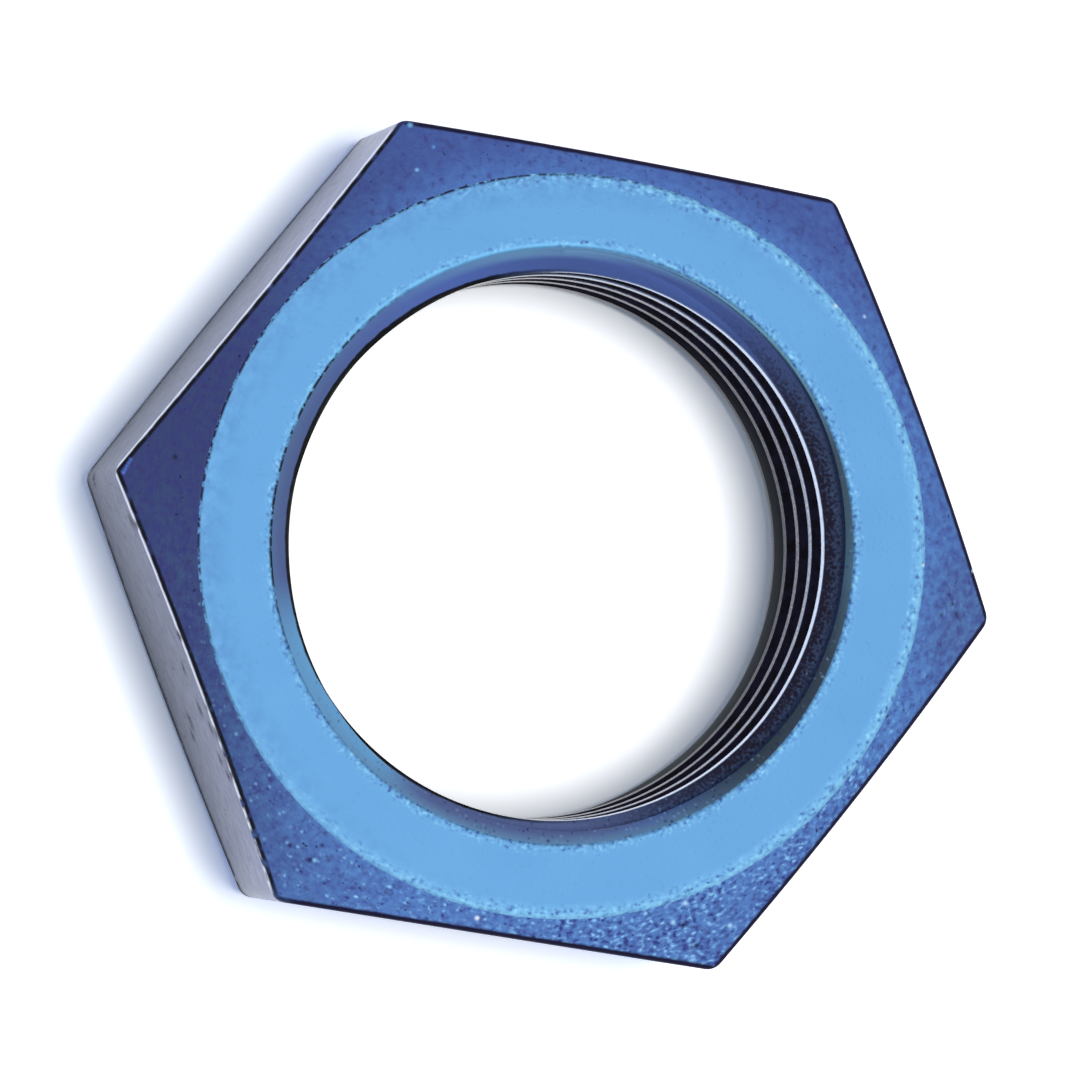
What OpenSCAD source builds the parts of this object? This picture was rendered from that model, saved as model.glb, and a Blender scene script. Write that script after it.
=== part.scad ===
// Bulkhead nut: the thin hexagon nut that clamps a tube fitting to a panel.
// It is one solid, turned from hexagon bar. A cone takes the corners off both
// ends and leaves a round bearing face there, and a countersunk bore with a
// right-handed thread goes through.
// The origin is the centre of the lower face, and +Z runs along the thread.

/* [Hexagon] */
// Width across the flats, for a 1 inch spanner
across_flats = 25.4; // [24.6:0.1:30]
// Height from the lower face to the upper face
nut_height = 8.35; // [6:0.05:14]
// Radius rolled on the six upright corners of the bar
corner_radius = 0.55; // [0.1:0.05:1.5]

/* [End faces] */
// Diameter of the round bearing face at each end
face_diameter = 23.8; // [21.6:0.1:24.4]
// Slope of the corner chamfer, measured from the bearing face in degrees
chamfer_slope = 22; // [10:1:35]

/* [Bore] */
// Bore at the crests of the thread, the minor diameter of 3/4-16 UNF
bore_diameter = 17.65; // [17.3:0.05:18.2]
// Mouth of the countersink at each end, a little over the major diameter
mouth_diameter = 19.25; // [18.4:0.05:21]
// Included angle of the countersink in degrees
countersink_angle = 90; // [60:5:120]

/* [Thread] */
// Diameter at the roots of the thread, the major diameter of 3/4-16 UNF
thread_diameter = 19.05; // [18.6:0.05:19.2]
// Threads to the inch
threads_per_inch = 16; // [14:1:18]
// Height of the middle of the groove above the lower face, where it passes +X
groove_height = 1.5; // [0:0.05:1.55]

/* [Hidden] */
// The pieces of the nut
// The piece to draw
// Sides of a full circle
$fn = 180;
// Flat strips that each rolled corner of the outline is made of
corner_strips = 8;
// Turn of the outline at one corner of a hexagon
corner_turn = 60;
// How far a cutter or a blank runs past the surface it has to clear
overrun = 1;
flat_radius = across_flats / 2;
face_radius = face_diameter / 2;
bore_radius = bore_diameter / 2;
mouth_radius = mouth_diameter / 2;
// Distance from the axis to the centre of each rolled corner
corner_centre = (flat_radius - corner_radius) / cos(corner_turn / 2);
// Radius of the turned blank, clear of the corners, and its height out there
blank_radius = corner_centre + corner_radius + overrun;
chamfer_drop = (blank_radius - face_radius) * tan(chamfer_slope);
// Advance of the thread in one turn
mm_per_inch = 25.4;
pitch = mm_per_inch / threads_per_inch;
// Slope of each flank of the thread, half its included angle
flank_angle = 30;
// Flat at the bottom of the groove, an eighth of the pitch
root_flat = pitch / 8;
root_radius = thread_diameter / 2;
// How far the groove's cutter reaches into the open bore
groove_reach = 0.1;
// Sections of the groove's cutter in one turn, and its turns past each face
turn_sections = 48;
spare_turns = 2;

// Points of one rolled corner, whose middle points along the given angle
function corner_arc(middle) = [
    for (i = [0:corner_strips])
        let (turned = middle + corner_turn * (i / corner_strips - 1 / 2))
            corner_centre * [cos(middle), sin(middle)]
                + corner_radius * [cos(turned), sin(turned)]
];

// The bar's hexagon, with a corner on +X and flats facing +Y and -Y
module bar_outline() {
    polygon([for (k = [0:5]) each corner_arc(k * corner_turn)]);
}

// The disc that the lathe leaves: a flat face and a shallow cone at each end
module turned_blank() {
    rotate_extrude()
        polygon([
            [0, 0],
            [face_radius, 0],
            [blank_radius, chamfer_drop],
            [blank_radius, nut_height - chamfer_drop],
            [face_radius, nut_height],
            [0, nut_height]
        ]);
}

// The cutter for the countersink of the lower end, mirrored for the upper one
module countersink() {
    flare = tan(countersink_angle / 2);
    cone_height = mouth_radius / flare;
    translate([0, 0, -overrun])
        cylinder(
            h = cone_height + overrun,
            r1 = mouth_radius + overrun * flare,
            r2 = 0
        );
}

// The bore at the thread's crests, with a countersink at both ends
module bore_cut() {
    translate([0, 0, -overrun])
        cylinder(h = nut_height + 2 * overrun, r = bore_radius);
    countersink();
    translate([0, 0, nut_height])
        mirror([0, 0, 1])
            countersink();
}

// The groove's section: radius and height from its middle, flat at the root
// and wider by both flanks where it opens into the bore
function groove_section() =
    let (
        inner = bore_radius - groove_reach,
        root = root_flat / 2,
        open = root + (root_radius - inner) * tan(flank_angle)
    )
    [[root_radius, -root], [root_radius, root], [inner, open], [inner, -open]];

// The same section, turned and raised to its place along the helix
function section_at(turns) =
    let (around = 360 * turns, rise = groove_height + pitch * (turns - spare_turns))
        [for (p = groove_section()) [p[0] * cos(around), p[0] * sin(around), p[1] + rise]];

// The thread's groove: its section swept up the helix, and out of both faces
module thread_groove() {
    steps = turn_sections * (ceil(nut_height / pitch) + 2 * spare_turns);
    corners = len(groove_section());
    walls = [
        for (i = [0:steps - 1], j = [0:corners - 1])
            let (
                here = i * corners,
                next = here + corners,
                other = (j + 1) % corners
            )
            each [
                [here + j, here + other, next + other],
                [here + j, next + other, next + j]
            ]
    ];
    first = [[3, 2, 1], [3, 1, 0]];
    last = [for (side = [[0, 1, 2], [0, 2, 3]]) [for (c = side) c + steps * corners]];
    polyhedron(
        points = [for (i = [0:steps]) each section_at(i / turn_sections)],
        faces = concat(walls, first, last),
        convexity = 10
    );
}

// The nut itself, blue anodised aluminium
module nut() {
    color([0.33, 0.53, 0.8])
        difference() {
            intersection() {
                linear_extrude(height = nut_height)
                    bar_outline();
                turned_blank();
            }
            bore_cut();
            thread_groove();
        }
}

nut();
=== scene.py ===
"""Looks of the bulkhead nut: one blue anodised piece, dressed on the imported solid.

The nut's skin comes from one Geometry Nodes tree. It makes bands of faces round
the axis, which share their columns: the bearing faces, the corner chamfers, the
flats and the rounded arrises between them. The bore's rows climb with the
thread, so that its crests and grooves are true to the helix. Sizes are in
millimetres and are scaled to metres as they enter the tree.
"""

from __future__ import annotations

import logging
import math
from dataclasses import dataclass, field
from enum import Enum
from typing import Any, Mapping, Sequence, Union

import bpy
from mathutils import Matrix, Vector

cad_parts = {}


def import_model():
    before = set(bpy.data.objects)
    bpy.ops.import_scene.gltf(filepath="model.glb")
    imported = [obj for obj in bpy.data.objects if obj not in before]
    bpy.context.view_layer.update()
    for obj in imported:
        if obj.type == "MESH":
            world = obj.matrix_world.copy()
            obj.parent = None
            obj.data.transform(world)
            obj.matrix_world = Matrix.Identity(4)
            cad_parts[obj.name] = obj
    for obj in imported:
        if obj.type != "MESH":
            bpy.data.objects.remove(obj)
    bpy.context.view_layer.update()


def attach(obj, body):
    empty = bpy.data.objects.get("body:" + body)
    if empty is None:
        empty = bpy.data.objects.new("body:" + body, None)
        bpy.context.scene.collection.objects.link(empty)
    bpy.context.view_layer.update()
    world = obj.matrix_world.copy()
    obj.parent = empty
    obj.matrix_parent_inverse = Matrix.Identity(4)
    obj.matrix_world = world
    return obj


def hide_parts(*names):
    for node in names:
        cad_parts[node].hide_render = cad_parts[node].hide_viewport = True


LOG = logging.getLogger("bulkhead_nut")
MM = 0.001

Colour = tuple[float, float, float]
Number = Union[int, float, "Wire"]


def srgb(red: int, green: int, blue: int) -> Colour:
    """Turn a colour as it shows on a screen, 0 to 255, into linear light.

    Args:
        red: Red on the screen.
        green: Green on the screen.
        blue: Blue on the screen.

    Returns:
        The linear colour that a shader takes.
    """

    def linear(level: int) -> float:
        """Undo the screen's curve for one channel."""
        share = level / 255
        return share / 12.92 if share <= 0.04045 else ((share + 0.055) / 1.055) ** 2.4

    return linear(red), linear(green), linear(blue)


class Wire:
    """One output socket of a node, with arithmetic that adds Math nodes."""

    def __init__(self, graph: Graph, socket: bpy.types.NodeSocket) -> None:
        """Keep the socket and the graph that it belongs to."""
        self.graph = graph
        self.socket = socket

    def math(self, operation: str, *others: Number) -> Wire:
        """Add a Math node that takes this value first.

        Args:
            operation: Blender's name of the operation.
            others: The remaining values or wires.

        Returns:
            The node's result.
        """
        values = dict(enumerate((self, *others)))
        return self.graph.wire("ShaderNodeMath", values, {"operation": operation})

    def __add__(self, other: Number) -> Wire:
        """Sum of two values."""
        return self.math("ADD", other)

    __radd__ = __add__

    def __sub__(self, other: Number) -> Wire:
        """This value less another."""
        return self.math("SUBTRACT", other)

    def __rsub__(self, other: Number) -> Wire:
        """A number less this value."""
        values = {0: other, 1: self}
        return self.graph.wire("ShaderNodeMath", values, {"operation": "SUBTRACT"})

    def __mul__(self, other: Number) -> Wire:
        """Product of two values."""
        return self.math("MULTIPLY", other)

    __rmul__ = __mul__

    def __truediv__(self, other: Number) -> Wire:
        """This value divided by another."""
        return self.math("DIVIDE", other)

    def __neg__(self) -> Wire:
        """This value with its sign turned."""
        return self.math("MULTIPLY", -1.0)

    def __abs__(self) -> Wire:
        """Size of this value without its sign."""
        return self.math("ABSOLUTE")

    def sin(self) -> Wire:
        """Sine of this angle in radians."""
        return self.math("SINE")

    def cos(self) -> Wire:
        """Cosine of this angle in radians."""
        return self.math("COSINE")

    def tan(self) -> Wire:
        """Tangent of this angle in radians."""
        return self.math("TANGENT")

    def root(self) -> Wire:
        """Square root of this value, or 0 below 0."""
        return self.math("MAXIMUM", 0.0).math("SQRT")

    def floor(self) -> Wire:
        """This value rounded down."""
        return self.math("FLOOR")

    def below(self, other: Number) -> Wire:
        """1 where this value is less than the other, else 0."""
        return self.math("LESS_THAN", other)

    def least(self, other: Number) -> Wire:
        """The smaller of two values."""
        return self.math("MINIMUM", other)

    def most(self, other: Number) -> Wire:
        """The larger of two values."""
        return self.math("MAXIMUM", other)

    def ramp(self, start: Number, end: Number, smooth: bool = False) -> Wire:
        """Share of the way from start to end, kept from 0 to 1.

        Args:
            start: Value at which the share is 0.
            end: Value at which the share is 1.
            smooth: Whether the share eases in and out.

        Returns:
            The share.
        """
        shape = "SMOOTHSTEP" if smooth else "LINEAR"
        settings = {"interpolation_type": shape, "clamp": True}
        return self.graph.wire("ShaderNodeMapRange", {0: self, 1: start, 2: end}, settings)


class Graph:
    """A node tree under construction, for a shader or for geometry."""

    def __init__(self, tree: bpy.types.NodeTree) -> None:
        """Keep the tree that the nodes go into."""
        self.tree = tree

    def node(
        self,
        kind: str,
        values: Mapping[str | int, Any] | None = None,
        settings: Mapping[str, Any] | None = None,
    ) -> bpy.types.Node:
        """Add one node.

        Args:
            kind: Blender's name of the node's type.
            values: A value, a wire or a list of wires for each input, by name or number.
            settings: Properties that are set first.

        Returns:
            The new node.
        """
        node = self.tree.nodes.new(kind)
        for name, setting in (settings or {}).items():
            setattr(node, name, setting)
        for key, value in (values or {}).items():
            self.feed(node.inputs[key], value)
        return node

    def wire(
        self,
        kind: str,
        values: Mapping[str | int, Any] | None = None,
        settings: Mapping[str, Any] | None = None,
        output: str | int = 0,
    ) -> Wire:
        """Add one node and return one of its outputs.

        Args:
            kind: Blender's name of the node's type.
            values: What feeds each input, as in node.
            settings: Properties that are set first.
            output: Name or number of the output.

        Returns:
            The output.
        """
        return Wire(self, self.node(kind, values, settings).outputs[output])

    def feed(self, socket: bpy.types.NodeSocket, value: Any) -> None:
        """Set an input's value, or link what feeds it.

        Args:
            socket: The input.
            value: A value, a wire or a list of wires.
        """
        for source in value if isinstance(value, list) else [value]:
            if isinstance(source, Wire):
                self.tree.links.new(source.socket, socket)
            elif isinstance(source, tuple) and socket.type == "RGBA":
                socket.default_value = (*source, 1.0)
            else:
                socket.default_value = source

    def vector(self, x: Number, y: Number, z: Number) -> Wire:
        """A vector from its three parts."""
        return self.wire("ShaderNodeCombineXYZ", {0: x, 1: y, 2: z})

    def vector_math(self, operation: str, values: Mapping[str | int, Any], output: str | int = 0) -> Wire:
        """Result of a Vector Math node."""
        return self.wire("ShaderNodeVectorMath", values, {"operation": operation}, output)

    def blend(self, share: Number, low: Any, high: Any) -> Wire:
        """Mix two colours.

        Args:
            share: How much of the second colour shows.
            low: Colour at share 0.
            high: Colour at share 1.

        Returns:
            The mixed colour.
        """
        return self.wire("ShaderNodeMix", {0: share, 6: low, 7: high}, {"data_type": "RGBA"}, 2)


def empty_tree(owner: bpy.types.Material | bpy.types.World) -> Graph:
    """Clear the node tree of a new material or world.

    Args:
        owner: The material or the world.

    Returns:
        Its tree, ready for nodes.
    """
    owner.use_nodes = True
    owner.node_tree.nodes.clear()
    return Graph(owner.node_tree)


def add_object(name: str, data: bpy.types.ID) -> bpy.types.Object:
    """Make an object and put it in the scene.

    Args:
        name: Name of the object.
        data: Its mesh, camera or light.

    Returns:
        The object.
    """
    made = bpy.data.objects.new(name, data)
    bpy.context.scene.collection.objects.link(made)
    return made


class Region(Enum):
    """The parts of the nut's surface that have a finish of their own."""

    FACE = 0
    CHAMFER = 1
    FLAT = 2
    BORE = 3


@dataclass
class Place:
    """A place on the nut's section: its radius and its height."""

    r: Wire
    z: Wire

    def toward(self, other: Place, share: Wire) -> Place:
        """The place at a share of the straight way to another."""
        return Place(self.r + (other.r - self.r) * share, self.z + (other.z - self.z) * share)


@dataclass(frozen=True)
class Nick:
    """A dent knocked into the upper arris."""

    degrees: float
    width: float
    depth: float


@dataclass
class NutSkin:
    """Geometry Nodes tree for the nut's whole surface, as named inputs and bands."""

    across_flats: float = 25.4
    height: float = 8.35
    corner_radius: float = 0.55
    face_diameter: float = 23.8
    chamfer_slope: float = 22.0
    bore_diameter: float = 17.65
    mouth_diameter: float = 19.25
    countersink_angle: float = 90.0
    thread_diameter: float = 19.05
    pitch: float = 25.4 / 16
    groove_height: float = 1.5
    flank_angle: float = 30.0
    arris_break: float = 0.11
    circle_break: float = 0.08
    mouth_break: float = 0.07
    columns_per_side: int = 100
    rows_per_pitch: int = 16
    nicks: tuple[Nick, ...] = (
        Nick(-173.4, 0.30, 0.07),
        Nick(-157.6, 0.30, 0.06),
        Nick(-146.6, 0.28, 0.05),
        Nick(-142.9, 0.34, 0.07),
        Nick(-138.4, 0.26, 0.07),
        Nick(-136.5, 0.30, 0.08),
        Nick(163.0, 0.24, 0.03),
        Nick(139.0, 0.22, 0.03),
    )
    graph: Graph = field(init=False)
    inputs: dict[str, Wire] = field(init=False, default_factory=dict)
    values: dict[str, float] = field(init=False, default_factory=dict)
    identifiers: dict[str, str] = field(init=False, default_factory=dict)

    SIDES = 6
    # Gap that is welded, in millimetres, and how much closer columns stand at the corners
    WELD, CROWDING = 0.0005, 0.25
    # Rows of faces in each band, from the mouth's rounding to the flat
    MOUTH_ROWS, FACE_ROWS, CIRCLE_ROWS, CONE_ROWS, ARRIS_ROWS, FLAT_ROWS = 3, 6, 2, 7, 4, 10
    # Turns of rows before the groove's first turn and past its last
    TURNS_BEFORE, TURNS_PAST = 2, 1
    # Share of the rows at which the root ends and the crest starts
    ROOT_ROWS, FLANK_ROWS = 1 / 8, 5 / 8
    # How far a crest's edges are set back, how much more its lower one is, and the
    # width over which the thread runs out into the countersink
    EDGE_BACK, LOWER_BACK, RUN_OUT = 0.02, 0.05, 0.04
    # How steeply a dent runs down, and the turn in degrees past which edges stay sharp
    DENT_FALL, SHARP_DEGREES = 0.6, 35.0

    def __post_init__(self) -> None:
        """Make the empty tree and its named inputs."""
        tree = bpy.data.node_groups.new("nut_skin", "GeometryNodeTree")
        self.graph = Graph(tree)
        tree.interface.new_socket("Geometry", in_out="OUTPUT", socket_type="NodeSocketGeometry")
        lengths = {
            "Flat Radius": self.across_flats / 2,
            "Height": self.height,
            "Corner Radius": self.corner_radius,
            "Face Radius": self.face_diameter / 2,
            "Crest Radius": self.bore_diameter / 2,
            "Mouth Radius": self.mouth_diameter / 2,
            "Root Radius": self.thread_diameter / 2,
            "Pitch": self.pitch,
            "Groove Height": self.groove_height,
            "Arris Break": self.arris_break,
            "Circle Break": self.circle_break,
            "Mouth Break": self.mouth_break,
        }
        angles = {
            "Chamfer Slope": math.radians(self.chamfer_slope),
            "Countersink Slope": math.radians(self.countersink_angle / 2),
            "Flank Slope": math.radians(self.flank_angle),
        }
        self.values = {name: size * MM for name, size in lengths.items()} | angles
        for name in self.values:
            item = tree.interface.new_socket(name, in_out="INPUT", socket_type="NodeSocketFloat")
            self.identifiers[name] = item.identifier
        source = self.graph.node("NodeGroupInput")
        self.inputs = {name: Wire(self.graph, source.outputs[name]) for name in self.values}

    def _take(self, *names: str) -> list[Wire]:
        """The tree's inputs of these names."""
        return [self.inputs[name] for name in names]

    def build(self, name: str, finishes: Mapping[Region, bpy.types.Material]) -> bpy.types.Object:
        """Make the nut as a plain mesh object at the origin.

        Args:
            name: Name of the object.
            finishes: The material of each region.

        Returns:
            The finished object.
        """
        self._grow(finishes)
        carrier = add_object(name + "_tree", bpy.data.meshes.new(name + "_tree"))
        modifier = carrier.modifiers.new("skin", "NODES")
        modifier.node_group = self.graph.tree
        for label, identifier in self.identifiers.items():
            modifier[identifier] = self.values[label]
        grown = carrier.evaluated_get(bpy.context.evaluated_depsgraph_get())
        mesh = bpy.data.meshes.new_from_object(grown)
        mesh.name = name
        bpy.data.objects.remove(carrier)
        for nick in self.nicks:
            self._knock(mesh, nick)
        return add_object(name, mesh)

    def _knock(self, mesh: bpy.types.Mesh, nick: Nick) -> None:
        """Press one dent into the upper arris.

        Args:
            mesh: The nut's finished mesh.
            nick: The dent.
        """
        turn = math.radians(nick.degrees)
        side = 360 / self.SIDES
        middle = math.radians((math.floor(nick.degrees / side) + 0.5) * side)
        reach = self.across_flats / 2 / math.cos(turn - middle)
        fall = (reach - self.face_diameter / 2) * math.tan(math.radians(self.chamfer_slope))
        centre = Vector((reach * math.cos(turn), reach * math.sin(turn), self.height - fall)) * MM
        width, depth = nick.width * MM, nick.depth * MM
        down = Vector((0.0, 0.0, -self.DENT_FALL))
        for vertex in mesh.vertices:
            far = (vertex.co - centre).length / width
            if far < 1.0:
                inward = Vector((-vertex.co.x, -vertex.co.y, 0.0)).normalized() + down
                vertex.co += inward * (depth * (1.0 - far * far) ** 2)
        mesh.update()

    def _grow(self, finishes: Mapping[Region, bpy.types.Material]) -> None:
        """Fill the tree: bands, bore, weld, shading and materials.

        Args:
            finishes: The material of each region.
        """
        graph = self.graph
        place = graph.wire("GeometryNodeInputPosition")
        parts = graph.node("ShaderNodeSeparateXYZ", {0: place})
        around = Wire(graph, parts.outputs[0]) + 0.5
        along = Wire(graph, parts.outputs[1]) + 0.5
        angle, outline = self._outline(around)
        bands = self._shell(angle, outline, along)
        bands.append(self._bore(angle, along))
        joined = graph.wire("GeometryNodeJoinGeometry", {0: bands})
        values = {"Geometry": joined, "Distance": self.WELD * MM}
        welded = graph.wire("GeometryNodeMergeByDistance", values)
        outward = graph.wire("GeometryNodeFlipFaces", {"Mesh": welded})
        shaded = self._shade(outward)
        skin = graph.wire("GeometryNodeRealizeInstances", {"Geometry": shaded})
        settings = {"data_type": "INT"}
        region = graph.wire("GeometryNodeInputNamedAttribute", {"Name": "region"}, settings)
        for part, material in finishes.items():
            chosen = (region - part.value).math("COMPARE", 0.0, 0.5)
            values = {"Geometry": skin, "Selection": chosen, "Material": material}
            skin = graph.wire("GeometryNodeSetMaterial", values)
        graph.node("NodeGroupOutput", {"Geometry": skin})

    def _outline(self, around: Wire) -> tuple[Wire, Wire]:
        """Angle of each column and the radius of the hexagon's outline there.

        Columns are spaced along the six sides and stand closer at the corners.

        Args:
            around: Share of the way round, from the corner on +X.

        Returns:
            The column's angle in radians, and the outline's radius.
        """
        half_side = math.pi / self.SIDES
        side = around * self.SIDES
        number = side.floor()
        across = (side - number) * 2.0 - 1.0
        spread = across * (1.0 + self.CROWDING - across * across * self.CROWDING)
        lean = (spread * math.tan(half_side)).math("ARCTANGENT")
        angle = (number + 0.5) * (2 * half_side) + lean

        flat, corner = self._take("Flat Radius", "Corner Radius")
        centre = (flat - corner) / math.cos(half_side)
        from_corner = half_side - abs(lean)
        reach = centre * from_corner.cos()
        offset = centre * from_corner.sin()
        arc = reach + (corner * corner - offset * offset).root()
        plain = flat / lean.cos()
        tangent = (corner * math.sin(half_side)) / (centre + corner * math.cos(half_side))
        rolled = from_corner.below(tangent.math("ARCTANGENT"))
        return angle, plain + (arc - plain) * rolled

    def _shell(self, angle: Wire, outline: Wire, along: Wire) -> list[Wire]:
        """Bands from the upper mouth, over the outside, to the lower mouth.

        Args:
            angle: Angle of each column.
            outline: Radius of the hexagon's outline at each column.
            along: Share of the way across a band.

        Returns:
            The bands' meshes.
        """
        top, crown, mouth = self._take("Height", "Face Radius", "Mouth Radius")
        slope, sink = self._take("Chamfer Slope", "Countersink Slope")
        arris, ring, rim = self._take("Arris Break", "Circle Break", "Mouth Break")
        fall = outline - crown
        edge = Place(outline, top - fall * slope.tan())
        upper = [
            Place(mouth - rim * sink.sin(), top - rim * sink.cos()),
            Place(mouth, top),
            Place(mouth + rim, top),
            Place(crown - ring, top),
            Place(crown, top),
            Place(crown + ring * slope.cos(), top - ring * slope.sin()),
            Place(edge.r - arris * slope.cos(), edge.z + arris * slope.sin()),
            edge,
            Place(edge.r, edge.z - arris),
        ]
        lower = [Place(p.r, top - p.z) for p in upper]
        bands: list[Wire] = []
        for path in (upper, lower):
            start_rim, rim_tip, face_in, face_out, circle_tip, cone_in, cone_out, tip, flat_end = path
            steps = [
                (self._curve(start_rim, rim_tip, face_in, along), self.MOUTH_ROWS, Region.FACE),
                (self._line(face_in, face_out, along), self.FACE_ROWS, Region.FACE),
                (self._curve(face_out, circle_tip, cone_in, along), self.CIRCLE_ROWS, Region.FACE),
                (self._line(cone_in, cone_out, along), self.CONE_ROWS, Region.CHAMFER),
                (self._curve(cone_out, tip, flat_end, along), self.ARRIS_ROWS, Region.CHAMFER),
            ]
            for place, rows, region in steps:
                band = self._band(angle, place, rows, region)
                if path is lower:
                    band = self.graph.wire("GeometryNodeFlipFaces", {"Mesh": band})
                bands.append(band)
        side = self._line(upper[-1], lower[-1], along)
        bands.append(self._band(angle, side, self.FLAT_ROWS, Region.FLAT))
        return bands

    def _line(self, start: Place, end: Place, along: Wire) -> Place:
        """Straight way between two places, with its rows closer at both ends."""
        share = 0.5 - (along * math.pi).cos() * 0.5
        return start.toward(end, share)

    def _curve(self, start: Place, corner: Place, end: Place, along: Wire) -> Place:
        """Rounded way from start to end, which bends at the corner between them."""
        return start.toward(corner, along).toward(corner.toward(end, along), along)

    def _band(self, angle: Wire, place: Place, rows: int, region: Region) -> Wire:
        """One band of faces round the axis.

        Args:
            angle: Angle of each column.
            place: Radius and height of each point.
            rows: Rows of faces across the band.
            region: Region that the faces belong to.

        Returns:
            The band's mesh.
        """
        graph = self.graph
        columns = self.columns_per_side * self.SIDES
        counts = {"Size X": 1.0, "Size Y": 1.0, "Vertices X": columns + 1, "Vertices Y": rows + 1}
        grid = graph.wire("GeometryNodeMeshGrid", counts)
        point = graph.vector(place.r * angle.cos(), place.r * angle.sin(), place.z)
        bent = graph.wire("GeometryNodeSetPosition", {"Geometry": grid, "Position": point})
        settings = {"data_type": "INT", "domain": "FACE"}
        values = {"Geometry": bent, "Name": "region", "Value": region.value}
        return graph.wire("GeometryNodeStoreNamedAttribute", values, settings)

    def _bore(self, angle: Wire, along: Wire) -> Wire:
        """The threaded bore with its countersinks, in rows that climb with the helix.

        Args:
            angle: Angle of each column.
            along: Share of the rows from the lowest to the highest.

        Returns:
            The bore's mesh.
        """
        pitch, top, first, rim = self._take("Pitch", "Height", "Groove Height", "Mouth Break")
        root, crest, mouth = self._take("Root Radius", "Crest Radius", "Mouth Radius")
        sink, flank = self._take("Countersink Slope", "Flank Slope")
        turns = math.ceil(self.height / self.pitch) + self.TURNS_BEFORE + self.TURNS_PAST
        turn = along * turns - self.TURNS_BEFORE
        number = (turn + 0.5).floor()
        from_groove = (turn - number) * 2.0
        sign = from_groove.math("SIGN")
        share = abs(from_groove)

        depth = root - crest
        root_half = pitch / 16.0
        flank_height = depth * flank.tan()
        crest_half = pitch / 2.0 - root_half - flank_height
        root_rows, flank_rows = self.ROOT_ROWS, self.FLANK_ROWS
        rise = (
            share.ramp(0.0, root_rows) * root_half
            + share.ramp(root_rows, flank_rows) * flank_height
            + share.ramp(flank_rows, 1.0) * crest_half
        )
        radius = root - share.ramp(root_rows, flank_rows) * depth
        near_edge = (1.0 - abs(share - flank_rows) / (1 - flank_rows)).ramp(0.0, 1.0, smooth=True)
        under = sign.ramp(-1.0, 1.0)
        radius = radius + near_edge * (under * self.LOWER_BACK * MM + self.EDGE_BACK * MM)
        lift = angle / (2 * math.pi)
        height = first + (number + lift) * pitch + rise * sign
        edge = rim * sink.cos()
        height = height.most(edge).least(top - edge)
        below = top - height
        sunk = (mouth - height * sink.tan()).most(mouth - below * sink.tan())
        radius = radius.math("SMOOTH_MAX", sunk, self.RUN_OUT * MM)
        return self._band(angle, Place(radius, height), turns * self.rows_per_pitch, Region.BORE)

    def _shade(self, mesh: Wire) -> Wire:
        """Shade the skin smooth, apart from its sharp edges.

        Args:
            mesh: The welded skin.

        Returns:
            The shaded skin.
        """
        graph = self.graph
        values = {"Geometry": mesh, "Shade Smooth": True}
        smooth = graph.wire("GeometryNodeSetShadeSmooth", values, {"domain": "FACE"})
        turn = graph.wire("GeometryNodeInputMeshEdgeAngle", output="Unsigned Angle")
        sharp = 1.0 - turn.below(math.radians(self.SHARP_DEGREES))
        values = {"Geometry": smooth, "Selection": sharp, "Shade Smooth": False}
        return graph.wire("GeometryNodeSetShadeSmooth", values, {"domain": "EDGE"})


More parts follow.
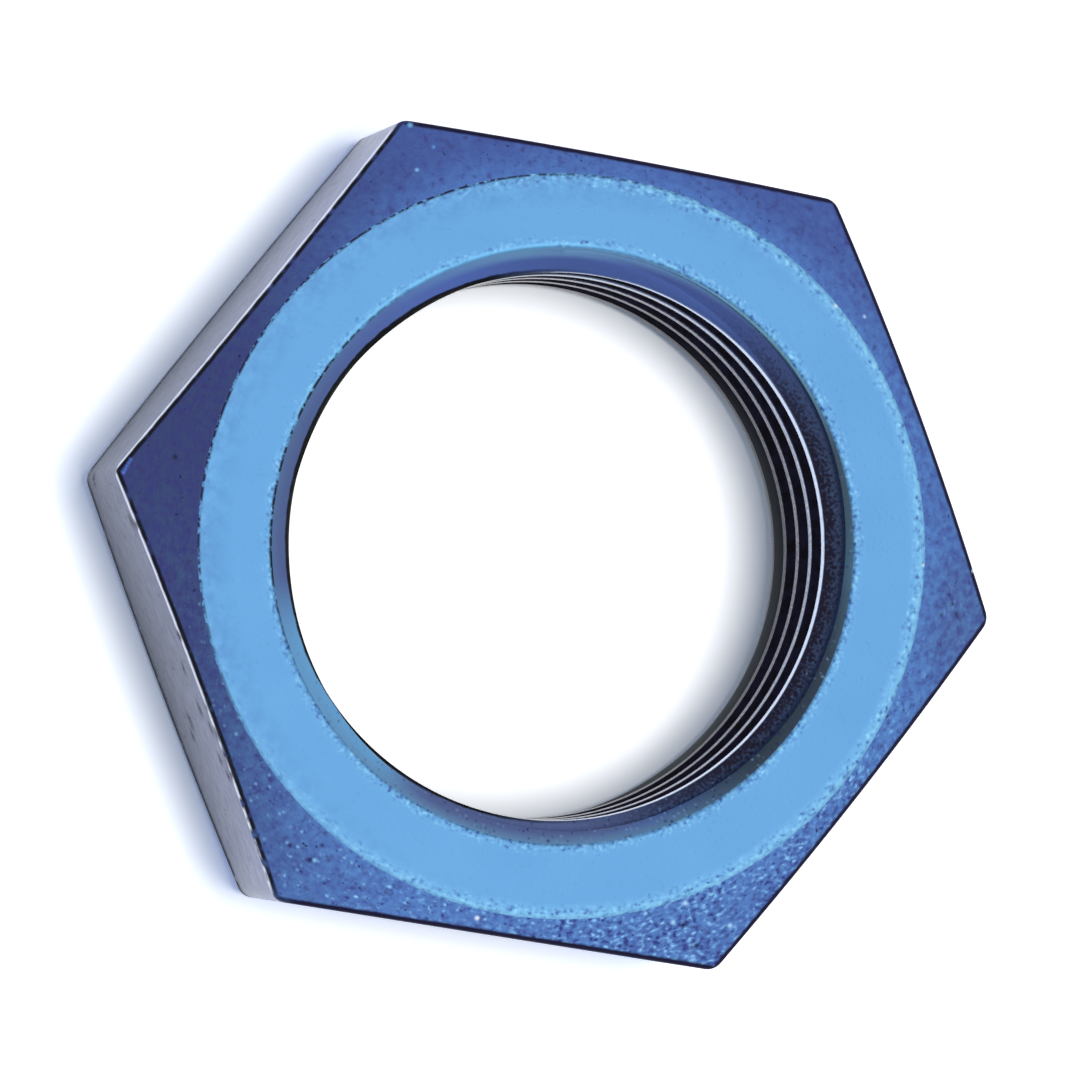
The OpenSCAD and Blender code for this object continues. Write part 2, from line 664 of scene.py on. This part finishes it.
class Survey:
    """Where a shaded point lies on the nut, in millimetres and radians."""

    # Where a mark has faded out, as a share of its size
    FADE = 1.15

    def __init__(self, graph: Graph, sizes: NutSkin) -> None:
        """Work out the point's radius, angle, height and distances to the edges.

        Args:
            graph: The material's tree.
            sizes: The nut's sizes.
        """
        self.graph = graph
        self.sizes = sizes
        coord = graph.wire("ShaderNodeTexCoord", output="Object")
        self.point = graph.vector_math("SCALE", {0: coord, "Scale": 1 / MM})
        parts = graph.node("ShaderNodeSeparateXYZ", {0: self.point})
        x, y, self.height = (Wire(graph, socket) for socket in parts.outputs)
        self.radius = (x * x + y * y).root()
        self.angle = y.math("ARCTAN2", x)
        self.below_face = sizes.height / 2 - abs(self.height - sizes.height / 2)
        self.to_circle = sizes.face_diameter / 2 - self.radius
        self.to_mouth = self.radius - sizes.mouth_diameter / 2
        self.to_crest = self.radius - sizes.bore_diameter / 2
        reach = x * 0.0
        for degrees in (30, 90, 150):
            turn = math.radians(degrees)
            reach = reach.most(abs(x * math.cos(turn) + y * math.sin(turn)))
        self.to_flat = sizes.across_flats / 2 - reach
        slope = math.tan(math.radians(sizes.chamfer_slope))
        self.below_arris = self.below_face + self.to_circle * slope
        top_turn = math.floor((sizes.height - sizes.groove_height) / sizes.pitch) - 0.5
        crest_line = self.angle * (sizes.pitch / (2 * math.pi)) + sizes.groove_height + sizes.pitch * top_turn
        self.over_crests = self.height - crest_line
        sink = math.tan(math.radians(sizes.countersink_angle / 2))
        self.off_cone = abs(self.to_mouth + self.below_face * sink)

    def noise(self, size: float, detail: float, seed: float, stretch: Colour | None = None) -> Wire:
        """Cloudy noise from about 0 to 1.

        Args:
            size: Width of its blots in millimetres.
            detail: Finer layers.
            seed: Place along a fourth axis, for a pattern of its own.
            stretch: How much longer the blots are along each axis, if they are.

        Returns:
            The noise.
        """
        place = self.point
        if stretch is not None:
            squeeze = tuple(1 / part for part in stretch)
            place = self.graph.vector_math("MULTIPLY", {0: place, 1: squeeze})
        return self._clouds(place, size, detail, seed, 0.55)

    def _clouds(self, place: Wire, size: float, detail: float, seed: float, rough: float) -> Wire:
        """Noise at a place, with the fourth axis as its seed."""
        values = {"Vector": place, "W": seed, "Scale": 1 / size, "Detail": detail, "Roughness": rough}
        return self.graph.wire("ShaderNodeTexNoise", values, {"noise_dimensions": "4D"})

    def _unrolled(self, stretch: float) -> Wire:
        """Point for a pattern that is drawn out along the lathe's marks."""
        girth = self.sizes.face_diameter / 2 / stretch
        return self.graph.vector(self.angle.cos() * girth, self.angle.sin() * girth, self.radius)

    def turned(self, size: float, stretch: float, seed: float, detail: float = 1.0) -> Wire:
        """Noise drawn out along the lathe's marks, from about 0 to 1.

        Args:
            size: Width of its grains across the marks in millimetres.
            stretch: How many times longer the grains are along the marks.
            seed: Place along a fourth axis, for a pattern of its own.
            detail: Finer layers.

        Returns:
            The noise.
        """
        return self._clouds(self._unrolled(stretch), size, detail, seed, 0.5)

    def dots(self, size: float, stretch: float, seed: float) -> Wire:
        """Separate soft dots along the lathe's marks, from -1 for dark to 1 for light.

        Args:
            size: Distance between dots in millimetres.
            stretch: How many times longer the dots are along the marks.
            seed: Place along a fourth axis, for a pattern of its own.

        Returns:
            The dots, with 0 between them.
        """
        place = self.graph.vector_math("ADD", {0: self._unrolled(stretch), 1: (seed, seed, seed)})
        cells = self.graph.node("ShaderNodeTexVoronoi", {"Vector": place, "Scale": 1 / size})
        pick = self.graph.node("ShaderNodeSeparateColor", {0: Wire(self.graph, cells.outputs["Color"])})
        dot = 1.0 - Wire(self.graph, cells.outputs["Distance"]).ramp(0.1, 0.5, smooth=True)
        return dot * (Wire(self.graph, pick.outputs[0]) * 2.0 - 1.0)

    def share(self, marks: Sequence[Mark]) -> Wire:
        """Share of the point that any of the marks covers.

        Args:
            marks: The marks.

        Returns:
            The share, from 0 to 1.
        """
        total = self.height * 0.0
        for mark in marks:
            total = total.most(self._cover(mark))
        return total

    def _cover(self, mark: Mark) -> Wire:
        """Share of the point that one mark covers, fading out from its middle.

        Args:
            mark: The mark.

        Returns:
            The share, from 0 to 1.
        """
        values = {0: self.point, 1: (mark.x, mark.y, mark.z)}
        far = self.graph.vector_math("DISTANCE", values, "Value")
        return (1.0 - far.ramp(0.0, mark.size * self.FADE, smooth=True)) * mark.share

    def marked(self, colour: Wire, marks: Sequence[Mark]) -> Wire:
        """Lay small spots of other colours over a colour.

        Args:
            colour: The colour below.
            marks: The spots.

        Returns:
            The colour with its spots.
        """
        for mark in marks:
            colour = self.graph.blend(self._cover(mark), colour, mark.colour)
        return colour

    def toward(self, degrees: float, start: float, end: float, smooth: bool = False) -> Wire:
        """Share by which the point lies toward a direction, between two cosines."""
        return (self.angle - math.radians(degrees)).cos().ramp(start, end, smooth)


@dataclass(frozen=True)
class Mark:
    """A small spot of another colour at one place on the nut."""

    x: float
    y: float
    z: float
    size: float
    colour: Colour
    share: float = 0.8


class Paint:
    """A colour under construction, in layers that each cover a share of those below."""

    def __init__(self, graph: Graph, colour: Any) -> None:
        """Start with the lowest layer."""
        self.graph = graph
        self.colour = colour

    def lay(self, share: Number, *screen: int) -> None:
        """Lay a screen colour over a share of the paint."""
        self.colour = self.graph.blend(share, self.colour, srgb(*screen))


@dataclass(frozen=True)
class Coat:
    """What one region's shader is given: colour, roughness, metal, height and clear coat."""

    colour: Any
    roughness: Number
    metallic: Number
    height: Wire
    depth: float
    coat: Number = 0.0
    coat_roughness: float = 0.3
    specular: float = 0.5


class Finish:
    """Blue anodised aluminium, as it shows on one region of the nut.

    In the comments +X is at the right and +Y at the top, as the camera sees them.
    """

    name = "anodised"
    # What the finish's colours are multiplied by
    level: Colour = (1.0, 1.0, 1.0)
    # Refraction of the clear anodic skin
    SKIN_IOR = 1.6

    def __init__(self, sizes: NutSkin) -> None:
        """Keep the nut's sizes."""
        self.sizes = sizes

    def coat(self, graph: Graph, at: Survey) -> Coat:
        """Colour and gloss of the region.

        Args:
            graph: The material's tree.
            at: Where the shaded point lies.

        Returns:
            What the shader is given.
        """
        raise NotImplementedError

    def material(self) -> bpy.types.Material:
        """Make the region's material.

        Returns:
            The material.
        """
        made = bpy.data.materials.new(self.name)
        graph = empty_tree(made)
        coat = self.coat(graph, Survey(graph, self.sizes))
        relief = {"Strength": 1.0, "Distance": coat.depth * MM, "Height": coat.height}
        values = {
            "Base Color": graph.vector_math("MULTIPLY", {0: coat.colour, 1: self.level}),
            "Metallic": coat.metallic,
            "Roughness": coat.roughness,
            "Normal": graph.wire("ShaderNodeBump", relief),
            "Coat Weight": coat.coat,
            "Coat Roughness": coat.coat_roughness,
            "Coat IOR": self.SKIN_IOR,
            "Specular IOR Level": coat.specular,
        }
        shader = graph.wire("ShaderNodeBsdfPrincipled", values)
        graph.node("ShaderNodeOutputMaterial", {"Surface": shader})
        return made


class BearingFace(Finish):
    """The round face: an even light blue, with bright grains along both its edges."""

    name = "bearing_face"
    MARKS = (
        Mark(11.86, 1.35, 8.34, 0.09, srgb(236, 246, 255), 1.0),
        Mark(7.62, 9.16, 8.34, 0.10, srgb(236, 246, 255), 1.0),
    )
    level = (0.83, 0.87, 0.85)

    def coat(self, graph: Graph, at: Survey) -> Coat:
        """Even blue, grainy near the circle and the mouth.

        Args:
            graph: The material's tree.
            at: Where the shaded point lies.

        Returns:
            What the shader is given.
        """
        grain = at.dots(0.17, 1.3, 1.0)
        ragged = at.turned(0.35, 1.5, 2.0, 2.0)
        near_circle = 1.0 - (at.to_circle + ragged * 0.45).ramp(0.25, 0.7)
        near_mouth = 1.0 - (at.to_mouth + ragged * 0.5).ramp(0.2, 0.65)
        away = at.toward(335, -0.6, 0.5)
        top = at.toward(92, 0.8, 0.97)

        # The even blue, with painted shade in blots near the circle at the left, and paler along the edges
        paint = Paint(graph, srgb(106, 167, 221))
        paint.lay(at.noise(2.5, 1.0, 3.0).ramp(0.3, 0.7), 110, 171, 224)
        painted_shade_blots = (1.0 - at.to_circle.ramp(0.1, 1.1)) * (1.0 - away) * at.noise(0.4, 2.0, 5.0).ramp(0.35, 0.65)
        paint.lay(painted_shade_blots * 0.8, 92, 144, 202)
        pale = near_circle * (away * 0.6 + 0.2) + near_mouth * 0.25
        paint.lay(pale * ragged.ramp(0.25, 0.5), 132, 196, 240)

        # Light and dark grains along both edges
        spread = near_circle * (away * 0.7 + top * 0.6 + 0.25) + near_mouth * 0.95 + 0.03
        value = ((at.turned(0.13, 1.3, 6.0, 1.0) - 0.5) * 2.6 + grain * 0.5) * spread
        paint.lay(value.ramp(0.06, 0.55), 156, 216, 248)
        paint.lay((-value).ramp(0.06, 0.5) * 0.9, 66, 100, 172)

        # The circle: a broken painted highlight strip, strongest at the lower right, and a dashed painted
        # shade line at the upper left
        edge = (1.0 - at.to_circle.ramp(0.03, 0.11)) * at.turned(0.16, 1.6, 7.0, 1.0).ramp(0.35, 0.65)
        paint.lay(edge * (away * 0.6 + 0.15), 148, 212, 250)
        dashes = at.turned(0.14, 1.5, 4.0).ramp(0.40, 0.52)
        line = (1.0 - at.to_circle.ramp(-0.03, 0.03)) * dashes * at.toward(150, 0.2, 0.8)
        paint.lay(line, 34, 32, 78)

        # The mouth: a painted highlight rim at the upper left, and a dashed painted shade line at the left
        rim = 1.0 - at.to_mouth.ramp(0.06, 0.15)
        paint.lay(rim * at.toward(125, 0.6, 0.95) * ragged.ramp(0.2, 0.5), 128, 198, 246)
        nearer = 1.0 - at.to_mouth.ramp(0.0, 0.07)
        paint.lay(nearer * at.toward(172, 0.75, 0.93) * dashes, 34, 40, 52)
        return Coat(at.marked(paint.colour, self.MARKS), 0.62, 0.6, grain, 0.004)


class CornerChamfer(Finish):
    """The cones on the corners: deeper blue, with a turned grain and lined arrises."""

    name = "corner_chamfer"
    MARKS = (
        # One streak by the left corner
        Mark(-14.37, -0.03, 7.35, 0.09, srgb(92, 124, 210), 0.9),
        Mark(-14.33, 0.08, 7.37, 0.09, srgb(92, 124, 210), 0.7),
        Mark(-14.30, 0.19, 7.38, 0.09, srgb(92, 124, 210), 0.7),
        Mark(-14.26, 0.30, 7.39, 0.09, srgb(92, 124, 210), 0.7),
        Mark(-14.22, 0.41, 7.41, 0.09, srgb(92, 124, 210), 0.7),
        # Single specks, light and dark
        Mark(-7.00, 12.55, 7.35, 0.12, srgb(140, 205, 250)),
        Mark(-6.66, 11.10, 7.93, 0.10, srgb(150, 205, 245)),
        Mark(-6.20, 11.95, 7.72, 0.09, srgb(110, 165, 225)),
        Mark(13.76, 1.49, 7.56, 0.09, srgb(225, 225, 240)),
        Mark(-12.91, 0.70, 7.93, 0.12, srgb(20, 20, 46)),
        Mark(8.68, 9.01, 8.10, 0.10, srgb(190, 222, 250)),
        Mark(-0.94, -12.22, 8.20, 0.11, srgb(245, 245, 255), 1.0),
        Mark(12.99, 0.56, 7.91, 0.10, srgb(46, 46, 86), 0.7),
        Mark(13.18, 0.30, 7.83, 0.11, srgb(46, 44, 76), 0.8),
        Mark(13.37, 0.01, 7.75, 0.12, srgb(44, 42, 72), 0.8),
        Mark(12.82, -0.14, 7.98, 0.11, srgb(46, 46, 80), 0.7),
        Mark(-7.26, -10.87, 7.88, 0.11, srgb(40, 34, 84)),
        Mark(-6.28, -10.71, 8.14, 0.11, srgb(40, 34, 84)),
        Mark(-6.55, -11.24, 7.90, 0.13, srgb(34, 18, 84), 0.95),
        Mark(-6.40, -11.21, 7.93, 0.10, srgb(150, 215, 245)),
        Mark(5.87, -11.39, 7.98, 0.13, srgb(24, 20, 70), 0.95),
        Mark(6.50, -11.98, 7.65, 0.13, srgb(22, 26, 60), 0.9),
        Mark(5.49, -11.37, 8.05, 0.12, srgb(190, 228, 252)),
        Mark(5.74, -10.70, 8.25, 0.12, srgb(200, 232, 252)),
        Mark(7.47, -11.18, 7.73, 0.12, srgb(190, 228, 252)),
    )
    level = (1.17, 1.20, 1.20)

    def coat(self, graph: Graph, at: Survey) -> Coat:
        """Deep blue with painted shade toward -X and painted light toward the bottom, light and dark grains,
        and painted light and shade lines at the arris.

        Args:
            graph: The material's tree.
            at: Where the shaded point lies.

        Returns:
            What the shader is given.
        """
        dimmed = at.toward(183, 0.3, 1.0, smooth=True)
        bright = at.toward(283, -0.3, 0.9)
        beside = at.toward(5, 0.5, 0.9)

        # The blue: brightest at the bottom as painted light, darkest at the left as painted shade, and
        # lighter toward the circle outside that shade
        paint = Paint(graph, srgb(77, 100, 163))
        paint.lay(bright, 88, 125, 189)
        paint.lay(dimmed, 56, 63, 105)
        paint.lay(at.toward(0, 0.984, 1.0, smooth=True) * 0.7, 74, 84, 138)
        inward = 1.0 - (0.0 - at.to_circle).ramp(0.0, 1.2)
        paint.lay(inward * (1.0 - dimmed) * 0.85, 92, 134, 198)

        # Soft blots, darker and lighter, and violet stains
        mottle = at.turned(0.22, 1.0, 14.0, 2.0).ramp(0.3, 0.7)
        paint.lay(mottle * (beside * 0.15 + dimmed * 0.15 + 0.3), 60, 60, 138)
        paint.lay((1.0 - mottle) * (bright * 0.25 + beside * 0.25 + 0.05), 104, 160, 212)
        paint.lay(at.turned(0.24, 0.9, 18.0, 2.0).ramp(0.56, 0.72) * 0.5, 62, 44, 100)

        # The turned grain, strongest at the lower right, and small dark pits
        patches = at.noise(0.9, 1.0, 16.0).ramp(0.3, 0.6)
        lower_right = at.toward(297, 0.6, 1.0)
        strength = (lower_right * 0.75 + bright * 0.3 + beside * 0.1 + 0.1) * (patches * 0.5 + 0.6)
        grain = at.turned(0.125, 1.5, 11.0, 1.0)
        specks = at.dots(0.17, 1.3, 17.0) * (strength * 0.5 + at.toward(250, 0.5, 1.0) * 0.25)
        value = (grain - 0.5) * strength * 2.2 + specks
        paint.lay(value.ramp(0.1, 0.6) * 0.9, 150, 205, 240)
        paint.lay((-value).ramp(0.06, 0.5) * 0.8, 44, 38, 118)
        paint.lay(at.noise(0.13, 0.0, 15.0).ramp(0.78, 0.84) * 0.8, 30, 30, 60)

        # The arris: a painted highlight over a painted shadow at the left, and a painted dark reflection line
        # elsewhere
        left = at.toward(180, 0.47, 0.53)
        broken = at.noise(0.45, 1.0, 13.0)
        bold = at.toward(150, 0.5, 0.9)
        upper = 1.0 - at.height.below(self.sizes.height / 2)
        inside = at.to_flat + broken * 0.05
        painted_reflection = upper * (1.0 - inside.ramp(0.05, 0.09)) * (broken.ramp(0.36, 0.52) + bold).least(1.0)
        shadow = (1.0 - inside.ramp(0.17, 0.22)) * broken.ramp(0.25, 0.45)
        outline = (1.0 - inside.ramp(0.15, 0.22)) * (1.0 - left)
        paint.lay(shadow * left, 12, 12, 24)
        paint.lay(painted_reflection * left, 214, 214, 226)
        paint.lay(outline, 18, 9, 48)
        return Coat(at.marked(paint.colour, self.MARKS), 0.6, 0.6, grain, 0.012)


class SpannerFlat(Finish):
    """The six flats: blue under a glossy skin that mirrors the pale floor at a low angle."""

    name = "spanner_flat"
    MARKS = tuple(
        Mark(x, y, z, size, srgb(22, 22, 44), 1.0)
        for x, y, z, size in (
            (-13.80, -1.50, 6.90, 0.40),
            (-14.58, -0.14, 2.55, 0.40),
            (-11.87, -4.85, 7.70, 0.25),
            (-11.30, -5.83, 6.40, 0.35),
            (-10.60, -7.05, 6.60, 0.40),
            (-10.28, -7.60, 7.30, 0.35),
            (-9.74, -8.53, 6.90, 0.35),
            (-9.49, -8.97, 7.20, 0.35),
            (-10.40, -7.38, 3.90, 0.50),
            (-10.15, -7.82, 3.40, 0.35),
        )
    )

    def coat(self, graph: Graph, at: Survey) -> Coat:
        """Blue under a glossy skin, which is dull where it is scratched, with painted highlights on the edges
        and painted shade.

        Args:
            graph: The material's tree.
            at: Where the shaded point lies.

        Returns:
            What the shader is given.
        """
        streak = at.noise(0.5, 3.0, 21.0, (1.0, 1.0, 0.5)).ramp(0.3, 0.7)
        # Greyer toward the foot and bluer upward, as a painted reflection of the shaded floor
        low = graph.blend(streak, srgb(60, 64, 86), srgb(76, 80, 102))
        high = graph.blend(streak, srgb(40, 58, 112), srgb(56, 76, 138))
        colour = graph.blend(at.height.ramp(1.0, 7.0), low, high)
        # Painted shade toward the left corner, which also thins the glossy skin there
        tone = 1.25 - at.toward(188, 0.5, 0.97) * 0.55
        paint = Paint(graph, graph.vector_math("SCALE", {0: colour, "Scale": tone}))

        # Dull, darker places: scratches, a broken painted shadow line at the foot, and the marks
        scratched = at.noise(0.2, 2.0, 26.0, (1.0, 1.0, 3.0)).ramp(0.6, 0.7)
        scratched = scratched * at.noise(2.0, 1.0, 27.0).ramp(0.35, 0.6)
        upper = 1.0 - at.height.below(self.sizes.height / 2)
        edge = at.noise(0.4, 2.0, 24.0)
        painted_foot_shade = (1.0 - at.below_arris.ramp(0.45, 0.75)) * edge.ramp(0.33, 0.43) * (1.0 - upper)
        marks = at.share(self.MARKS) * at.noise(0.15, 1.0, 28.0).ramp(0.25, 0.5)
        dimmed = (painted_foot_shade + marks + scratched * 0.4).least(1.0)
        paint.lay(dimmed, 14, 14, 10)

        # The upper edge: a broken painted highlight
        painted_edge_highlight = (1.0 - at.below_arris.ramp(0.11, 0.2)) * at.noise(0.6, 2.0, 23.0).ramp(0.36, 0.5) * upper
        paint.lay(painted_edge_highlight, 225, 224, 234)
        skin = (1.0 - dimmed) * (streak * 0.3 + 0.57 - at.height.ramp(3.0, 7.0) * 0.06) * tone.least(1.05)
        return Coat(paint.colour, 0.5, 0.0, streak, 0.01, coat=skin, specular=0.1)


class TappedBore(Finish):
    """The bore: grooves painted near black as shade, crests made bright by a painted reflection, and a
    countersink at each end.
    """

    name = "tapped_bore"
    MARKS = (
        Mark(3.72, 8.00, 4.03, 0.30, srgb(10, 8, 10)),
        Mark(3.60, 8.06, 5.60, 0.25, srgb(10, 8, 10)),
    )

    def coat(self, graph: Graph, at: Survey) -> Coat:
        """Blue countersink with painted light and shade by side, grooves painted near black as shade, and
        crests with a painted reflection that brightens upward.

        Args:
            graph: The material's tree.
            at: Where the shaded point lies.

        Returns:
            What the shader is given.
        """
        grain = at.noise(0.10, 0.0, 31.0)
        coarse = at.noise(0.35, 2.0, 32.0)
        right = at.toward(-5, 0.25, 0.88, smooth=True)
        speck = at.dots(0.17, 1.2, 33.0) * (at.toward(300, -0.2, 0.8) * 0.65 + 0.1)

        # The countersink, with painted light and shade by side: left, a painted highlight at the lower left,
        # bottom, top, and painted shade at the right
        sink = Paint(graph, srgb(114, 145, 232))
        sink.lay(at.toward(178, 0.55, 0.98), 109, 130, 183)
        sink.lay(at.toward(226, 0.85, 0.97, smooth=True), 137, 206, 252)
        sink.lay(at.toward(268, 0.85, 0.97, smooth=True), 112, 128, 182)
        sink.lay(at.toward(80, 0.6, 0.95), 97, 123, 192)
        lower = at.toward(280, 0.45, 0.85) * 0.6 + 0.25
        sink.lay((1.0 - at.below_face.ramp(0.08, 0.4)) * lower, 134, 180, 218)
        # Painted shade for the right side, darker toward its lower and upper ends and deeper down
        mouth = Paint(graph, srgb(101, 138, 160))
        mouth.lay(at.toward(332, 0.85, 0.98), 77, 91, 104)
        mouth.lay(at.toward(34, 0.88, 0.99), 92, 114, 126)
        mouth.lay(at.below_face.ramp(0.1, 0.7), 52, 66, 72)
        sink.colour = graph.blend(right, sink.colour, mouth.colour)
        sink.lay(speck.ramp(0.05, 0.7) * 0.7, 150, 190, 225)
        sink.lay((-speck).ramp(0.05, 0.6) * 0.7, 50, 56, 110)

        # The thread's opening turn, in painted shade and grainy at the right
        opening = Paint(graph, srgb(82, 102, 166))
        opening.lay(at.toward(262, 0.5, 0.85), 104, 120, 168)
        opening.lay(right, 64, 80, 112)
        opening.lay(speck.ramp(0.05, 0.7) * 0.5, 130, 160, 215)
        opening.lay((-speck).ramp(0.05, 0.6) * 0.6, 50, 52, 104)
        near_line = 1.0 - at.over_crests.ramp(0.3, 0.75)
        opening.lay((near_line * 0.6 + (grain - 0.5) * 0.9 + 0.1).ramp(0.3, 0.6) * right, 34, 28, 50)
        # Grooves below the opening turn, and at the left, are painted near black as shade
        first = at.over_crests.ramp(0.22, 0.32) * (1.0 - at.toward(200, 0.6, 0.85))
        groove = graph.blend(coarse.ramp(0.4, 0.6), srgb(26, 16, 26), srgb(44, 36, 62))
        groove = graph.blend(first, groove, opening.colour)
        cone = 1.0 - at.off_cone.ramp(0.02, 0.05)
        paint = Paint(graph, graph.blend(cone, groove, sink.colour))

        # A painted highlight band under the mouth at the top
        over = (1.0 - at.below_face.ramp(0.12, 0.42, smooth=True)) * at.toward(82, 0.6, 0.9)
        pale = graph.blend(at.toward(52, 0.9, 0.99), srgb(142, 196, 232), srgb(164, 226, 236))
        paint.colour = graph.blend(over * 0.84, paint.colour, pale)

        # The crests, with a painted reflection that brightens upward, and the foot of the bore in painted
        # shade, grey at the right and near black elsewhere
        painted_reflection = Paint(graph, srgb(34, 34, 38))
        painted_reflection.lay(at.height.ramp(1.8, 3.4), 36, 33, 52)
        painted_reflection.lay(at.height.ramp(3.4, 5.0), 66, 70, 98)
        painted_reflection.lay(at.height.ramp(5.3, 6.8), 172, 188, 216)
        painted_reflection.lay(grain.ramp(0.4, 0.8) * at.height.ramp(1.0, 7.0) * 0.4, 225, 232, 245)
        painted_foot_shade = 1.0 - at.height.ramp(0.85, 1.6)
        end = graph.blend(at.height.ramp(0.8, 1.5), srgb(146, 147, 142), srgb(80, 80, 78))
        paint.colour = graph.blend(painted_foot_shade, paint.colour, graph.blend(right, srgb(30, 30, 27), end))
        lip = at.toward(80, 0.5, 1.0) * 0.03
        crest = 1.0 - (at.to_crest + coarse * 0.03 - lip).ramp(0.030, 0.058)
        crest = crest * at.below_face.ramp(0.75, 0.85)
        paint.colour = graph.blend(crest * (1.0 - painted_foot_shade), paint.colour, painted_reflection.colour)

        # The painted shade line where the countersink ends, on the near side
        wider = at.toward(165, 0.5, 0.95) * 0.14 + at.toward(222, 0.93, 0.99) * 0.1
        reach = at.to_crest + coarse * 0.08 - wider
        paint.lay((1.0 - reach.ramp(0.12, 0.17)) * at.toward(190, -0.15, 0.25), 8, 9, 12)
        colour = at.marked(paint.colour, self.MARKS)
        return Coat(colour, 0.6 - crest * 0.42, crest * 0.4 + 0.6, grain, 0.008)


@dataclass(frozen=True)
class StudioCamera:
    """The camera at the photograph's viewing angle, in the nut's own frame."""

    tilt: float = 12.876
    azimuth: float = 196.031
    roll: float = 8.991
    distance: float = 213.694
    aim: tuple[float, float, float] = (0.077, 0.309, 4.036)
    lens: float = 217.657
    sensor: float = 36.0
    # Nearest and farthest that it sees, in metres
    reach: tuple[float, float] = (0.01, 10.0)

    def place(self) -> None:
        """Make the camera and set it as the scene's."""
        tilt, azimuth, roll = (math.radians(a) for a in (self.tilt, self.azimuth, self.roll))
        away = math.sin(tilt)
        back = Vector((away * math.cos(azimuth), away * math.sin(azimuth), math.cos(tilt)))
        level = Vector((0, 1, 0)).cross(back).normalized()
        upright = back.cross(level)
        right = level * math.cos(roll) + upright * math.sin(roll)
        up = upright * math.cos(roll) - level * math.sin(roll)
        turned = Matrix((right, up, back)).transposed().to_4x4()
        data = bpy.data.cameras.new("camera")
        data.sensor_width = self.sensor
        data.lens = self.lens
        data.clip_start, data.clip_end = self.reach
        camera = add_object("camera", data)
        camera.matrix_world = Matrix.Translation((Vector(self.aim) + back * self.distance) * MM) @ turned
        bpy.context.scene.camera = camera


@dataclass(frozen=True)
class Studio:
    """Plain pale floor under a long soft box, a little to the right, and an even pale sky."""

    floor_half: float = 1500.0
    floor_colour: float = 0.85
    floor_seen: Colour = (1.63, 1.67, 1.73)
    sky_colour: Colour = (0.88, 1.04, 1.35)
    sky_level: float = 0.33
    box_colour: Colour = (1.04, 1.0, 0.92)
    box_level: float = 1.85
    box_toward: tuple[float, float, float] = (0.12, 0.0, 1.0)
    box_distance: float = 1500.0
    box_size: tuple[float, float] = (380.0, 480.0)

    def light(self) -> None:
        """Make the soft box and the world."""
        data = bpy.data.lights.new("soft_box", "AREA")
        data.shape = "RECTANGLE"
        data.size, data.size_y = (side * MM for side in self.box_size)
        data.energy = self.box_level * math.pi * (self.box_distance * MM) ** 2
        data.color = self.box_colour
        box = add_object("soft_box", data)
        toward = Vector(self.box_toward).normalized()
        along = Vector((0.0, 1.0, 0.0)).cross(toward).normalized()
        turned = Matrix((along, toward.cross(along), toward)).transposed().to_4x4()
        box.matrix_world = Matrix.Translation(toward * self.box_distance * MM) @ turned
        world = bpy.data.worlds.new("world")
        graph = empty_tree(world)
        values = {"Color": self.sky_colour, "Strength": self.sky_level}
        sky = graph.wire("ShaderNodeBackground", values)
        graph.node("ShaderNodeOutputWorld", {"Surface": sky})
        bpy.context.scene.world = world
        bpy.context.scene.view_settings.view_transform = "Standard"

    def floor(self) -> None:
        """Make the floor that the nut lies on, which is paler to the eye than to the nut."""
        half = self.floor_half * MM
        mesh = bpy.data.meshes.new("floor")
        corners = [(-half, -half, 0), (half, -half, 0), (half, half, 0), (-half, half, 0)]
        mesh.from_pydata(corners, [], [(0, 1, 2, 3)])
        floor = add_object("floor", mesh)
        made = bpy.data.materials.new("floor_white")
        graph = empty_tree(made)
        path = graph.node("ShaderNodeLightPath")
        kinds = ("Is Camera Ray", "Is Glossy Ray", "Is Transmission Ray")
        camera, glossy, through = (Wire(graph, path.outputs[kind]) for kind in kinds)
        seen = camera.most(glossy).most(through)
        plain = (self.floor_colour,) * 3
        colour = graph.blend(seen, plain, self.floor_seen)
        shader = graph.wire("ShaderNodeBsdfDiffuse", {"Color": colour})
        graph.node("ShaderNodeOutputMaterial", {"Surface": shader})
        mesh.materials.append(made)


def main() -> None:
    """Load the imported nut, build its visible skin and light it."""
    logging.basicConfig(level=logging.INFO, format="%(message)s")
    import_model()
    StudioCamera().place()
    studio = Studio()
    studio.light()
    studio.floor()
    skin = NutSkin()
    finishes = {
        Region.FACE: BearingFace(skin).material(),
        Region.CHAMFER: CornerChamfer(skin).material(),
        Region.FLAT: SpannerFlat(skin).material(),
        Region.BORE: TappedBore(skin).material(),
    }
    nut = skin.build("bulkhead_nut", finishes)
    size = [round(x / MM, 3) for x in nut.dimensions]
    LOG.info("%s: %d faces, %s mm", nut.name, len(nut.data.polygons), size)
    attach(nut, "root")
    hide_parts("nut")


if __name__ == "__main__":
    main()
